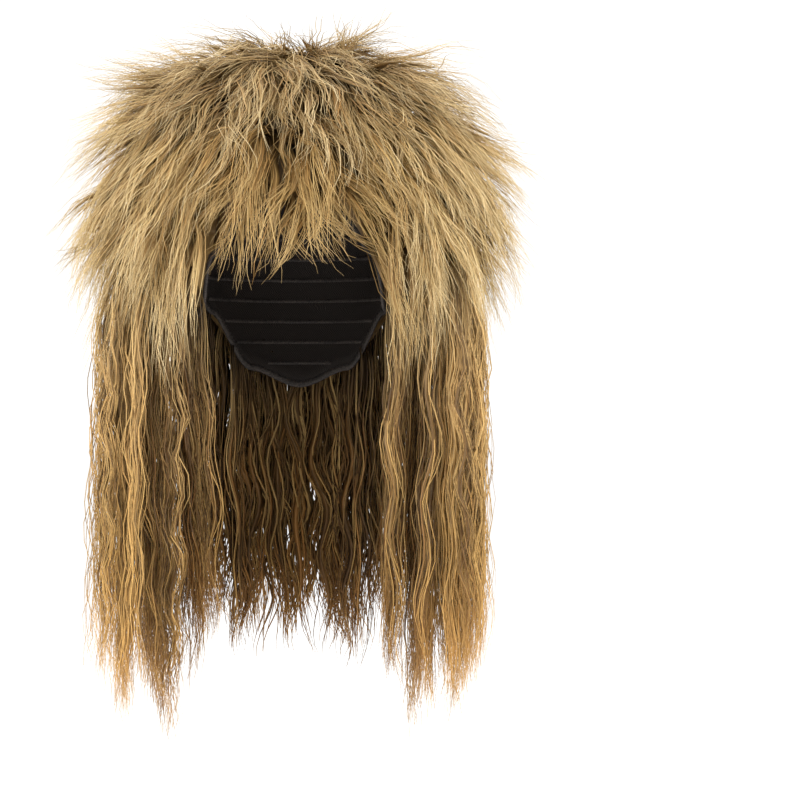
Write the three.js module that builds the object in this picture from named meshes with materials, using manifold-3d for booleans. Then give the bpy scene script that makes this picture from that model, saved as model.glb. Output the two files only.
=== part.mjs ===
// A long shaggy layered wig: a stretch cap that sits on the head, and locks of fibre sewn to it in weft rows.
// Millimetres, +Z up, the face towards -Y. The origin is where the crown of the head meets the inside of the cap.
// Left and right are the wearer's, so left is +X. Azimuths run from the middle of the forehead to the left.
import * as THREE from "three";
import { mergeVertices } from "three/addons/utils/BufferGeometryUtils.js";
import Module from "manifold-3d";

const wasm = await Module();
wasm.setup();

// Driving dimensions: the head that the cap fits, and the walls
const HEAD_WIDTH = 152;
const HEAD_DEPTH = 194;
const CROWN_HEIGHT = 95; // from the widest level of the head up to its crown
const NAPE_LENGTH = 90; // over which the head narrows to the neck
const NAPE_NARROWING = 0.22; // share of the width lost over that length
const CAP_WALL = 1.5;
const GAP = 0.4; // kept between two pieces
const SEAM = 0.25; // degrees that a root layer keeps from the line where it meets the next
const BELOW_EDGE = 0.7; // degrees that a hanging lock keeps below the cap's edge

// The cap's lower edge: how far down from the crown it reaches, by azimuth to either side.
// Both are angles in degrees seen from the middle of the head.
const EDGE_COLUMNS = ["azimuth", "polar"];
const CAP_EDGE = [
  [0, 59],
  [30, 63],
  [52, 82],
  [66, 106],
  [84, 108],
  [98, 98],
  [118, 106],
  [145, 132],
  [180, 140],
];

// How deep the teased roots stand off the cap, by how far down the cap they are: over the face and round the rest.
const ROOT_COLUMNS = ["polar", "front", "round"];
const TEASED_ROOTS = [
  [0, 48, 48],
  [20, 50, 60],
  [40, 34, 74],
  [60, 16, 72],
  [80, 10, 58],
  [100, 8, 36],
  [120, 8, 20],
  [141, 8, 8],
];
const FRONT_HALF = { full: 30, none: 68 }; // azimuths between which the front turns into the rest

// The root layer of each group of locks: a patch of the cap's outside. A bottom of null is the cap's edge.
const PATCH_COLUMNS = ["node", "from", "to", "top", "bottom", "colour"];
const ROOT_PATCHES = [
  ["crown_locks", -180, 180, 0, 36, 0x9a8259],
  ["right_wing_locks", -129, -51, 36, 73, 0xb4986b],
  ["left_wing_locks", 51, 129, 36, 73, 0xb4986b],
  ["back_shag_locks", 129, 231, 36, 81, 0xae9263],
  ["fringe", -51, 51, 36, null, 0x8a724a],
  ["right_long_locks", -129, -51, 73, null, 0x9a7a4a],
  ["left_long_locks", 51, 129, 73, null, 0x9a7a4a],
  ["back_long_locks", 129, 231, 81, null, 0x8c6e42],
];

// Weft rows. from and to: azimuths of the first and last lock. polar: how far down the cap the row is sewn.
// sunk: share of the root layer's depth at which a lock starts. lift: angle off the cap at the root.
// fall: how far the lock turns to its hanging direction, by bendBy of its length. forward and inward: how far it
// hangs to the front and to the middle for each unit down. width and depth: of the lock at its thickest.
const ROW_COLUMNS = [
  "node", "from", "to", "polar", "count", "sunk", "length",
  "lift", "fall", "bendBy", "forward", "inward", "width", "depth",
];
const WEFT_ROWS = [
  ["crown_locks", -150, 150, 9, 6, 0.6, 78, 60, 0.4, 1, 0, 0, 38, 14],
  ["crown_locks", 50, 50, 13, 1, 0.6, 92, 82, 0, 1, 0, 0, 26, 10],
  ["crown_locks", 62, 298, 22, 7, 0.6, 100, 54, 0.4, 1, 0, 0, 52, 16],
  ["crown_locks", -42, 42, 22, 4, 0.6, 128, 32, 0.7, 1, 0, 0, 40, 14],
  ["crown_locks", -86, -86, 28, 1, 0.6, 104, 74, 0.2, 1, 0, 0, 28, 11],
  ["crown_locks", 58, 302, 34, 9, 0.6, 104, 54, 0.45, 1, 0, 0, 56, 17],
  ["crown_locks", -40, 40, 34, 3, 0.6, 112, 28, 0.8, 1, 0, 0, 42, 13],
  ["right_wing_locks", -120, -60, 46, 3, 0.6, 104, 50, 0.5, 1, 0, 0, 54, 16],
  ["right_wing_locks", -126, -54, 58, 5, 0.6, 100, 44, 0.55, 1, 0, 0, 46, 16],
  ["right_wing_locks", -122, -58, 69, 4, 0.6, 108, 40, 0.6, 1, 0.05, 0, 50, 15],
  ["left_wing_locks", 60, 120, 46, 3, 0.6, 102, 50, 0.5, 1, 0, 0, 54, 16],
  ["left_wing_locks", 54, 126, 58, 5, 0.6, 96, 44, 0.55, 1, 0, 0, 46, 16],
  ["left_wing_locks", 58, 122, 69, 4, 0.6, 106, 40, 0.6, 1, 0.05, 0, 50, 15],
  ["back_shag_locks", 142, 218, 46, 3, 0.6, 108, 48, 0.5, 1, 0, 0, 70, 18],
  ["back_shag_locks", 134, 226, 61, 4, 0.6, 112, 40, 0.6, 1, 0, 0, 68, 18],
  ["back_shag_locks", 138, 222, 75, 4, 0.6, 120, 34, 0.7, 1, 0, 0, 64, 16],
  ["fringe", -36, 36, 45, 4, 0.6, 92, 30, 0.9, 0.8, 0, 0, 34, 8],
  ["fringe", -44, 44, 55, 6, 0.6, 72, 22, 0.95, 0.6, 0, 0, 26, 6],
  ["right_long_locks", -122, -70, 78, 4, 0.5, 330, 24, 1, 0.3, 0.2, 0.02, 58, 24],
  ["right_long_locks", -116, -66, 91, 3, 0.15, 304, 10, 1, 0.3, 0.15, 0.06, 56, 22],
  ["left_long_locks", 70, 122, 78, 4, 0.5, 344, 24, 1, 0.3, 0.2, 0.02, 58, 24],
  ["left_long_locks", 66, 116, 91, 3, 0.15, 316, 10, 1, 0.3, 0.15, 0.06, 56, 22],
  ["back_long_locks", 136, 224, 88, 5, 0.55, 300, 20, 1, 0.3, 0, 0, 62, 24],
  ["back_long_locks", 148, 212, 112, 3, 0.2, 262, 10, 1, 0.3, 0, 0, 66, 20],
];

const JITTER = { azimuth: 5, lift: 12, length: 0.12, sweep: 0.3, phase: Math.PI };
const SHORT_STEPS = 4;
const LONG_STEPS = 8;
const LONG_FROM = 200; // a lock longer than this is long, and waves
const WAVE_HEIGHT = 5;
const WAVE_LENGTH = 110;
const ROOT_SHARE = 0.6; // of a lock's width at its root
const SWELL_BY = 0.3; // of its length, where it has its full width
const TAPER = { short: 2.2, long: 5 }; // the higher, the nearer the tip a lock keeps its width
const HEAD_CLEARANCE = 3; // a lock's middle line stays this far off the cap
const CAP_FACETS = { across: 26, down: 7 };
const ROOT_FACETS = { degrees: 20, down: 3 };

const named = (columns) => (row) => Object.fromEntries(row.map((value, i) => [columns[i], value]));
const capEdge = CAP_EDGE.map(named(EDGE_COLUMNS));
const teasedRoots = TEASED_ROOTS.map(named(ROOT_COLUMNS));
const rootPatches = ROOT_PATCHES.map(named(PATCH_COLUMNS));
const weftRows = WEFT_ROWS.map(named(ROW_COLUMNS));
const { degToRad, euclideanModulo, lerp, smoothstep } = THREE.MathUtils;

// A repeatable number from -1 to 1 for a lock and a use.
function jitter(lock, use) {
  const value = Math.sin(lock * 12.9898 + use * 78.233) * 43758.5453;
  return 2 * (value - Math.floor(value)) - 1;
}

// An azimuth as an angle from the middle of the forehead, either way.
function fromFront(azimuth) {
  return Math.abs(euclideanModulo(azimuth + 180, 360) - 180);
}

// A column of a table at a key between two of its rows, eased.
function eased(table, key, at, column) {
  const i = Math.max(1, table.findIndex((row) => row[key] >= at));
  const [low, high] = [table[i - 1], table[i]];
  return lerp(low[column], high[column], smoothstep(at, low[key], high[key]));
}

// How far down the cap reaches.
function edgePolar(azimuth) {
  return eased(capEdge, "azimuth", fromFront(azimuth), "polar");
}

// How deep the root layer is.
function rootDepth(azimuth, polar) {
  const round = smoothstep(fromFront(azimuth), FRONT_HALF.full, FRONT_HALF.none);
  return lerp(eased(teasedRoots, "polar", polar, "front"), eased(teasedRoots, "polar", polar, "round"), round);
}

// How much of the head's width and depth is left at a height.
function headShare(z) {
  if (z >= -CROWN_HEIGHT) return Math.sqrt(Math.max(0, 1 - (z / CROWN_HEIGHT + 1) ** 2));
  return 1 - NAPE_NARROWING * ((-CROWN_HEIGHT - z) / NAPE_LENGTH) ** 2;
}

// The way straight out of the head at a point on it.
function headNormal({ x, y, z }) {
  const below = Math.max(0, -CROWN_HEIGHT - z);
  const slope = below
    ? (-2 * headShare(z) * NAPE_NARROWING * below) / NAPE_LENGTH ** 2
    : (z + CROWN_HEIGHT) / CROWN_HEIGHT ** 2;
  return new THREE.Vector3(x / (HEAD_WIDTH / 2) ** 2, y / (HEAD_DEPTH / 2) ** 2, slope).normalize();
}

// The head: an ellipsoid above its widest level, narrowing towards the neck below it.
function headPoint(azimuth, polar, offset = 0) {
  const angle = degToRad(azimuth);
  const z = polar <= 90 ? Math.cos(degToRad(polar)) - 1 : -1 - degToRad(polar - 90);
  const share = polar <= 90 ? Math.sin(degToRad(polar)) : headShare(z * CROWN_HEIGHT);
  const point = new THREE.Vector3(
    (Math.sin(angle) * HEAD_WIDTH * share) / 2,
    (-Math.cos(angle) * HEAD_DEPTH * share) / 2,
    z * CROWN_HEIGHT,
  );
  return point.addScaledVector(headNormal(point), offset);
}

// A closed solid from loose triangles.
function solidOf(triangles) {
  const merged = mergeVertices(new THREE.BufferGeometry().setFromPoints(triangles.flat()), 1e-3);
  return new wasm.Manifold(
    new wasm.Mesh({
      numProp: 3,
      vertProperties: merged.attributes.position.array,
      triVerts: new Uint32Array(merged.index.array),
    }),
  );
}

function geometryOf(solid) {
  const mesh = solid.getMesh();
  const geometry = new THREE.BufferGeometry();
  geometry.setAttribute("position", new THREE.BufferAttribute(mesh.vertProperties, mesh.numProp));
  geometry.setIndex(new THREE.BufferAttribute(mesh.triVerts, 1));
  const flat = geometry.toNonIndexed();
  flat.computeVertexNormals();
  return flat;
}

// The two triangles of a four-sided face, less those that a shared corner leaves empty.
function quad(a, b, c, d) {
  const same = (p, q) => p.distanceToSquared(q) < 1e-6;
  return [[a, b, c], [a, c, d]].filter(([p, q, r]) => !same(p, q) && !same(q, r) && !same(r, p));
}

// A patch of wall that follows the head. bottom is a function of azimuth, inside and outside of azimuth and polar.
function wall({ from, to, top, bottom, inside, outside, across, down }) {
  const closed = to - from >= 360;
  const sheet = (offset) =>
    Array.from({ length: across + 1 }, (_, i) => {
      const azimuth = lerp(from, to, i / across);
      return Array.from({ length: down + 1 }, (_, j) => {
        const polar = lerp(top, bottom(azimuth), j / down);
        return headPoint(azimuth, polar, offset(azimuth, polar));
      });
    });
  const [out, inn] = [sheet(outside), sheet(inside)];
  const faces = [];
  for (let i = 0; i < across; i++) {
    for (let j = 0; j < down; j++) {
      faces.push(...quad(out[i][j], out[i][j + 1], out[i + 1][j + 1], out[i + 1][j]));
      faces.push(...quad(inn[i + 1][j], inn[i + 1][j + 1], inn[i][j + 1], inn[i][j]));
    }
    faces.push(...quad(out[i + 1][down], out[i][down], inn[i][down], inn[i + 1][down]));
    if (top > 0) faces.push(...quad(out[i][0], out[i + 1][0], inn[i + 1][0], inn[i][0]));
  }
  for (let j = 0; j < down && !closed; j++) {
    faces.push(...quad(out[0][j + 1], out[0][j], inn[0][j], inn[0][j + 1]));
    faces.push(...quad(out[across][j], out[across][j + 1], inn[across][j + 1], inn[across][j]));
  }
  return solidOf(faces);
}

// The head and cap as one filled form, which the root layers are cut to fit.
function headForm(offset) {
  const { across, down } = CAP_FACETS;
  const middle = new THREE.Vector3(0, 0, -CROWN_HEIGHT);
  const ring = (i, j) => {
    const azimuth = -180 + (360 * i) / across;
    return headPoint(azimuth, ((edgePolar(azimuth) + BELOW_EDGE) * j) / down, offset);
  };
  const faces = [];
  for (let i = 0; i < across; i++) {
    for (let j = 0; j < down; j++) {
      faces.push(...quad(ring(i, j), ring(i, j + 1), ring(i + 1, j + 1), ring(i + 1, j)));
    }
    faces.push([ring(i + 1, down), ring(i, down), middle]);
  }
  return solidOf(faces);
}

// Moves a point that has come too near the cap straight out from the head's upright axis.
function keepOff(point) {
  if (point.z > 0) return;
  const reach = Math.hypot(point.x / (HEAD_WIDTH / 2), point.y / (HEAD_DEPTH / 2));
  const least = headShare(point.z) + (2 * (CAP_WALL + HEAD_CLEARANCE)) / HEAD_WIDTH;
  const scale = Math.max(1, least / reach);
  point.x *= scale;
  point.y *= scale;
}

// The middle line of a lock, with its heading, the way its broad face looks and its side, from root to tip.
function lockLine({ azimuth, polar, sunk, length, lift, sweep, fall, bendBy, forward, inward, phase }) {
  const long = length > LONG_FROM;
  const steps = long ? LONG_STEPS : SHORT_STEPS;
  const root = headPoint(azimuth, polar, CAP_WALL + sunk * rootDepth(azimuth, polar));
  const normal = headNormal(headPoint(azimuth, polar));
  const downhill = headPoint(azimuth, polar + 1).sub(headPoint(azimuth, polar)).normalize();
  const start = downhill.clone().multiplyScalar(Math.cos(degToRad(lift)));
  start.addScaledVector(normal, Math.sin(degToRad(lift)));
  start.addScaledVector(downhill.cross(normal), sweep).normalize();
  const hang = new THREE.Vector3(-Math.sign(root.x) * inward, -forward, -1).normalize();
  const line = [];
  const point = root.clone();
  for (let i = 0; i <= steps; i++) {
    const share = i / steps;
    const heading = start.clone().lerp(hang, fall * smoothstep(share, -bendBy / 2, bendBy)).normalize();
    const face = normal.clone().addScaledVector(heading, -normal.dot(heading)).normalize();
    const side = new THREE.Vector3().crossVectors(face, heading);
    const wave = long ? WAVE_HEIGHT * Math.min(1, 3 * share) : 0;
    const shift = wave * Math.sin((2 * Math.PI * share * length) / WAVE_LENGTH + phase);
    line.push({ share, point: point.clone().addScaledVector(side, shift), heading, face, side });
    point.addScaledVector(heading, length / steps);
    keepOff(point);
  }
  return line;
}

// A lock's width along its length, from 0 to 1: it swells from the root and runs out to a point.
function lockSwell(share, length) {
  const taper = length > LONG_FROM ? TAPER.long : TAPER.short;
  return lerp(ROOT_SHARE, 1, smoothstep(share, 0, SWELL_BY)) * (1 - share ** taper);
}

// A lock as a blade with a ridge along its outer face, its sides and ends moved out by a margin.
function lockSolid(lock, margin = 0) {
  const line = lockLine(lock);
  line[0].point.addScaledVector(line[0].heading, -margin);
  const tip = line.pop();
  const rings = line.map(({ share, point, face, side }) => {
    const swell = lockSwell(share, lock.length);
    const half = (lock.width / 2) * swell;
    const depth = lock.depth * swell;
    const slant = Math.hypot(half, depth);
    const reach = half + (margin * (slant + half)) / depth;
    const base = point.clone().addScaledVector(face, -margin);
    return [
      base.clone().addScaledVector(side, reach),
      point.clone().addScaledVector(face, depth + (margin * slant) / half),
      base.clone().addScaledVector(side, -reach),
    ];
  });
  const end = tip.point.clone().addScaledVector(tip.heading, margin);
  const faces = [rings[0].toReversed()];
  for (let k = 0; k < 3; k++) {
    const next = (k + 1) % 3;
    for (let i = 0; i + 1 < rings.length; i++) {
      faces.push(...quad(rings[i][k], rings[i][next], rings[i + 1][next], rings[i + 1][k]));
    }
    faces.push([rings.at(-1)[k], rings.at(-1)[next], end]);
  }
  return solidOf(faces);
}

// Every lock of every weft row, spread along its row and varied a little.
function allLocks() {
  const locks = [];
  for (const row of weftRows) {
    for (let i = 0; i < row.count; i++) {
      const n = locks.length + 1;
      const along = row.count > 1 ? i / (row.count - 1) : 0;
      locks.push({
        ...row,
        azimuth: lerp(row.from, row.to, along) + JITTER.azimuth * jitter(n, 1),
        lift: row.lift + JITTER.lift * jitter(n, 2),
        length: row.length * (1 + JITTER.length * jitter(n, 3)),
        sweep: JITTER.sweep * jitter(n, 4),
        phase: JITTER.phase * jitter(n, 5),
      });
    }
  }
  return locks;
}

function join(solids) {
  return solids.reduce((whole, solid) => whole.add(solid));
}

// What is left in one piece with the roots once the tips that a cut freed are gone.
function largest(solid) {
  return solid.decompose().reduce((a, b) => (a.volume() > b.volume() ? a : b));
}

function piece(name, solid, look) {
  const mesh = new THREE.Mesh(geometryOf(solid), new THREE.MeshStandardMaterial({ ...look, metalness: 0 }));
  mesh.name = name;
  return mesh;
}

function wigCap() {
  const shape = wall({
    from: -180,
    to: 180,
    top: 0,
    bottom: edgePolar,
    inside: () => 0,
    outside: () => CAP_WALL,
    across: CAP_FACETS.across,
    down: CAP_FACETS.down,
  });
  return piece("wig_cap", shape, { color: 0x17120f, roughness: 0.9 });
}

// A group of locks fused to its root layer, or that grown by a margin, where it cuts its neighbours.
function lockGroup(patch, locks, margin = 0) {
  const seam = margin ? 0 : SEAM;
  const round = patch.to - patch.from >= 360;
  const roots = wall({
    from: patch.from + (round ? 0 : seam),
    to: patch.to - (round ? 0 : seam),
    top: patch.top ? patch.top + seam : 0,
    bottom: (azimuth) => (patch.bottom ?? edgePolar(azimuth) - 1) - seam,
    inside: () => CAP_WALL - 0.5,
    outside: (azimuth, polar) => CAP_WALL + rootDepth(azimuth, polar) + margin,
    across: Math.ceil((patch.to - patch.from) / ROOT_FACETS.degrees),
    down: ROOT_FACETS.down,
  });
  return join([roots, ...locks.map((lock) => lockSolid(lock, margin))]);
}

function hair() {
  const locks = allLocks();
  const meshes = [];
  let taken = headForm(CAP_WALL + GAP);
  for (const patch of rootPatches) {
    const own = locks.filter((lock) => lock.node === patch.node);
    const shape = largest(lockGroup(patch, own).subtract(taken));
    meshes.push(piece(patch.node, shape, { color: patch.colour, roughness: 0.6 }));
    taken = taken.add(lockGroup(patch, own, GAP));
  }
  return meshes;
}

const wig = new THREE.Group();
wig.add(wigCap(), ...hair());

export default wig;
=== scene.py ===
import math

import bmesh
import bpy
import numpy as np
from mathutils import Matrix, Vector


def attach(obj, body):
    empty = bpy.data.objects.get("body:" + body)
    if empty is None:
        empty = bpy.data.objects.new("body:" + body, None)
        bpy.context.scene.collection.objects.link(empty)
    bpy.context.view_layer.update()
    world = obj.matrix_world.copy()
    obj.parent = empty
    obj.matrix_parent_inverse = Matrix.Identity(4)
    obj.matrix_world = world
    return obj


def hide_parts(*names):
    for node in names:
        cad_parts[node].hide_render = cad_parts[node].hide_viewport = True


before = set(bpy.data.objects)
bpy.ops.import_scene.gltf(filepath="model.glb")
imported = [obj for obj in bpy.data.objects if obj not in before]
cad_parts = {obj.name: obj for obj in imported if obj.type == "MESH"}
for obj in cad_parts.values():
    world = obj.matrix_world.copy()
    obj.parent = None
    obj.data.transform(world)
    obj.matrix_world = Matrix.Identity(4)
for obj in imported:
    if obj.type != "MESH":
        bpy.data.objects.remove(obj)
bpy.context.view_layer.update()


# Cap: a stretch cap of fine black net, rounded to the head, with a tab that reaches down at each side.
# It is knitted in one piece, and everything else on the wig is sewn to it.
HEAD_WIDTH = 0.152
HEAD_DEPTH = 0.194
CROWN_HEIGHT = 0.095  # from the crown down to where the cap is widest
NAPE_LENGTH = 0.090  # from there down to the nape
NAPE_NARROWING = 0.22  # share of the width and depth that is lost at the nape
CAP_WALL = 0.0015
# The cap's lower edge: degrees round from the front, degrees down from the crown.
CAP_EDGE = ((0, 59), (30, 63), (52, 82), (66, 106), (84, 108), (98, 98), (118, 106), (145, 132), (180, 140))
CAP_ROUND = 72  # faces round the cap
CAP_DOWN = 22  # faces from the crown to the edge
TINY = 1e-12
MERGE_WITHIN = 1e-6
NET_BLACK = (22, 18, 16)
NET_THREAD = (46, 38, 32)
NET_PITCH = 0.0022
NET_PULL = (4, 3)  # threads by which the knit is pulled out of line, round the cap and down it
NET_ROUGH = 0.85
THREAD_EDGE = (0.12, 0.5)  # sines of the places across a thread where its side starts and ends
THREAD_GLOSS = 0.3


def smooth(at, low, high):
    """From 0 at low to 1 at high, eased."""
    share = np.clip((at - low) / (high - low), 0, 1)
    return share * share * (3 - 2 * share)


def eased(table, at, column=1):
    """A column of a table at a key between two of its rows."""
    rows = np.asarray(table, float)
    at = np.asarray(at, float)
    high = np.clip(np.searchsorted(rows[:, 0], at), 1, len(rows) - 1)
    share = smooth(at, rows[high - 1, 0], rows[high, 0])
    return rows[high - 1, column] * (1 - share) + rows[high, column] * share


def level(value):
    """A depth or an edge that is the same all round the cap."""
    return lambda *place: np.full_like(place[-1], value)


def from_front(azimuth):
    """Degrees round from the front, either way."""
    return np.abs((np.asarray(azimuth, float) + 180) % 360 - 180)


def edge_polar(azimuth):
    """How far down the cap reaches."""
    return eased(CAP_EDGE, from_front(azimuth))


def unit(vectors):
    """Vectors made 1 long."""
    return vectors / np.maximum(np.linalg.norm(vectors, axis=-1, keepdims=True), TINY)


def head_share(height):
    """How much of the full width and depth is left at a height."""
    dome = np.sqrt(np.clip(1 - (height / CROWN_HEIGHT + 1) ** 2, 0, 1))
    nape = 1 - NAPE_NARROWING * ((-CROWN_HEIGHT - height) / NAPE_LENGTH) ** 2
    return np.where(height >= -CROWN_HEIGHT, dome, nape)


def head_normal(points):
    """The way straight out of the cap."""
    x, y, z = np.moveaxis(points, -1, 0)
    below = np.maximum(0, -CROWN_HEIGHT - z)
    slope = np.where(
        below > 0,
        -2 * head_share(z) * NAPE_NARROWING * below / NAPE_LENGTH**2,
        (z + CROWN_HEIGHT) / CROWN_HEIGHT**2,
    )
    return unit(np.stack([x / (HEAD_WIDTH / 2) ** 2, y / (HEAD_DEPTH / 2) ** 2, slope], -1))


def head_point(azimuth, polar, offset=0.0):
    """A point on the cap's inner face, or off it, by its angles."""
    azimuth, polar = np.broadcast_arrays(np.radians(azimuth), np.asarray(polar, float))
    dome = np.cos(np.radians(polar)) - 1
    height = np.where(polar <= 90, dome, -1 - np.radians(polar - 90)) * CROWN_HEIGHT
    share = np.where(polar <= 90, np.sin(np.radians(np.minimum(polar, 90))), head_share(height))
    x = np.sin(azimuth) * share * HEAD_WIDTH / 2
    y = -np.cos(azimuth) * share * HEAD_DEPTH / 2
    points = np.stack([x, y, height], -1)
    return points + head_normal(points) * np.asarray(offset)[..., None]


def wall(start, end, top, bottom, inside, outside, across, down):
    """A closed patch of wall round the cap's form.

    Gives its points, its four-sided faces and a map place for each face corner.
    """
    azimuth = np.linspace(start, end, across + 1)[:, None] * np.ones(down + 1)
    polar = top + (bottom(azimuth[:, :1]) - top) * np.linspace(0, 1, down + 1)
    points = np.concatenate(
        [head_point(azimuth, polar, side(azimuth, polar)).reshape(-1, 3) for side in (outside, inside)]
    )
    outer = np.arange((across + 1) * (down + 1)).reshape(across + 1, down + 1)
    inner = outer + outer.size
    place = np.tile(np.stack([azimuth / 360 + 0.5, polar / 180], -1).reshape(-1, 2), (2, 1))
    faces = [
        np.stack([outer[:-1, :-1], outer[:-1, 1:], outer[1:, 1:], outer[1:, :-1]], -1).reshape(-1, 4),
        np.stack([inner[1:, :-1], inner[1:, 1:], inner[:-1, 1:], inner[:-1, :-1]], -1).reshape(-1, 4),
        np.stack([outer[1:, -1], outer[:-1, -1], inner[:-1, -1], inner[1:, -1]], -1),
    ]
    if top > 0:
        faces.append(np.stack([outer[:-1, 0], outer[1:, 0], inner[1:, 0], inner[:-1, 0]], -1))
    if end - start < 360:
        faces.append(np.stack([outer[0, 1:], outer[0, :-1], inner[0, :-1], inner[0, 1:]], -1))
        faces.append(np.stack([outer[-1, :-1], outer[-1, 1:], inner[-1, 1:], inner[-1, :-1]], -1))
    faces = np.concatenate(faces)
    return points, faces, place[faces]


class Value:
    """A node's output, on which sums are written as Python expressions."""

    def __init__(self, nodes, socket):
        self.nodes = nodes
        self.socket = socket

    def sum_of(self, operation, first, second):
        is_vector = [isinstance(part, Value) and part.socket.type == "VECTOR" for part in (first, second)]
        if not any(is_vector):
            return self.nodes.add("ShaderNodeMath", {"operation": operation}, {0: first, 1: second})
        if operation == "MULTIPLY" and not all(is_vector):
            vector, scale = (first, second) if is_vector[0] else (second, first)
            sockets = {"Vector": vector, "Scale": scale}
            return self.nodes.add("ShaderNodeVectorMath", {"operation": "SCALE"}, sockets)
        return self.nodes.add("ShaderNodeVectorMath", {"operation": operation}, {0: first, 1: second})

    def __add__(self, other):
        return self.sum_of("ADD", self, other)

    def __radd__(self, other):
        return self.sum_of("ADD", other, self)

    def __sub__(self, other):
        return self.sum_of("SUBTRACT", self, other)

    def __rsub__(self, other):
        return self.sum_of("SUBTRACT", other, self)

    def __mul__(self, other):
        return self.sum_of("MULTIPLY", self, other)

    def __rmul__(self, other):
        return self.sum_of("MULTIPLY", other, self)

    def __truediv__(self, other):
        return self.sum_of("DIVIDE", self, other)

    def __rtruediv__(self, other):
        return self.sum_of("DIVIDE", other, self)

    def __pow__(self, other):
        return self.sum_of("POWER", self, other)

    def __rpow__(self, other):
        return self.sum_of("POWER", other, self)

    def apply(self, operation):
        return self.nodes.add("ShaderNodeMath", {"operation": operation}, {0: self})

    def output(self, name):
        outputs = self.socket.node.outputs
        return Value(self.nodes, next(socket for socket in outputs if socket.name == name and socket.enabled))


class Nodes:
    """A node tree that grows node by node."""

    def __init__(self, tree):
        self.tree = tree

    def add(self, kind, settings=None, sockets=None):
        """A node of a kind: first its settings, then its sockets. Gives its first output."""
        node = self.tree.nodes.new(kind)
        for name, value in (settings or {}).items():
            if name == "stops":
                ramp = node.color_ramp.elements
                while len(ramp) < len(value):
                    ramp.new(0.5)
                for stop, (place, colour) in zip(ramp, value):
                    stop.position = place
                    stop.color = linear(colour)
            else:
                setattr(node, name, value)
        self.feed(node, sockets or {})
        outputs = [socket for socket in node.outputs if socket.enabled]
        return Value(self, outputs[0]) if outputs else None

    def feed(self, node, sockets):
        """Puts values or links into a node's sockets."""
        for key, value in sockets.items():
            named = [socket for socket in node.inputs if socket.name == key and socket.enabled]
            socket = node.inputs[key] if isinstance(key, int) else named[0]
            for part in value if isinstance(value, list) else [value]:
                if isinstance(part, Value):
                    self.tree.links.new(part.socket, socket)
                else:
                    socket.default_value = part

    def eased(self, value, low, high):
        """From 0 at low to 1 at high, eased."""
        return self.add(
            "ShaderNodeMapRange",
            {"interpolation_type": "SMOOTHSTEP"},
            {"Value": value, "From Min": low, "From Max": high, "To Min": 0.0, "To Max": 1.0},
        )

    def blend(self, share, first, second):
        """A colour between two."""
        return self.add("ShaderNodeMix", {"data_type": "RGBA"}, {"Factor": share, "A": first, "B": second})

    def vector(self, x, y, z):
        return self.add("ShaderNodeCombineXYZ", None, {"X": x, "Y": y, "Z": z})

    def noise(self, place, scale, detail, roughness=0.5):
        sockets = {"Vector": place, "Scale": scale, "Detail": detail, "Roughness": roughness}
        return self.add("ShaderNodeTexNoise", None, sockets)


def linear(colour):
    """A colour in 0 to 255 as a screen shows it, for a shader."""
    share = np.asarray(colour, float) / 255
    light = np.where(share < 0.04045, share / 12.92, ((share + 0.055) / 1.055) ** 2.4)
    return (*(float(part) for part in light), 1.0)


def finish_start(name):
    """A new material: itself, its nodes and its shader."""
    material = bpy.data.materials.new(name)
    material.use_nodes = True
    shader = next(node for node in material.node_tree.nodes if node.type == "BSDF_PRINCIPLED")
    return material, Nodes(material.node_tree), shader


def net_finish():
    """Fine black net: a diamond mesh of shiny thread, pulled out of line here and there."""
    material, nodes, shader = finish_start("cap_net")
    place = nodes.add("ShaderNodeUVMap", {"uv_map": "net"})
    split = nodes.add("ShaderNodeSeparateXYZ", None, {"Vector": place})
    pull = nodes.noise(place, scale=26.0, detail=2.0)
    across = split.output("X") * (math.pi * HEAD_DEPTH / NET_PITCH) + pull * NET_PULL[0]
    down = split.output("Y") * (math.pi * CROWN_HEIGHT / NET_PITCH) + pull * NET_PULL[1]
    first = ((across + down) * math.pi).apply("SINE").apply("ABSOLUTE")
    second = ((across - down) * math.pi).apply("SINE").apply("ABSOLUTE")
    thread = 1 - nodes.eased(first.sum_of("MINIMUM", first, second), *THREAD_EDGE)
    bump = nodes.add("ShaderNodeBump", None, {"Strength": 0.5, "Distance": 0.0006, "Height": thread})
    nodes.feed(
        shader,
        {
            "Base Color": nodes.blend(thread, linear(NET_BLACK), linear(NET_THREAD)),
            "Roughness": NET_ROUGH - thread * THREAD_GLOSS,
            "Normal": bump,
            "Specular IOR Level": 0.3,
        },
    )
    return material


def plain_mesh(name, points, faces, places, map_name):
    """A mesh from arrays, with a map place for each face corner."""
    mesh = bpy.data.meshes.new(name)
    mesh.from_pydata(points.tolist(), [], faces.tolist())
    mesh.uv_layers.new(name=map_name).data.foreach_set("uv", places.astype(np.float32).ravel())
    return mesh


def merged(mesh):
    """The mesh with its doubled points merged and its faces smooth."""
    work = bmesh.new()
    work.from_mesh(mesh)
    bmesh.ops.remove_doubles(work, verts=work.verts, dist=MERGE_WITHIN)
    for face in work.faces:
        face.smooth = True
    work.to_mesh(mesh)
    work.free()
    return mesh


def placed(name, data):
    """A new object in the scene."""
    piece = bpy.data.objects.new(name, data)
    bpy.context.scene.collection.objects.link(piece)
    return piece


net_wall = wall(
    -180, 180, 0, edge_polar, inside=level(0.0), outside=level(CAP_WALL), across=CAP_ROUND, down=CAP_DOWN
)
cap = placed("cap", merged(plain_mesh("cap", *net_wall, "net")))
cap.data.materials.append(net_finish())
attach(cap, "root")
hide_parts("wig_cap")


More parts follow.
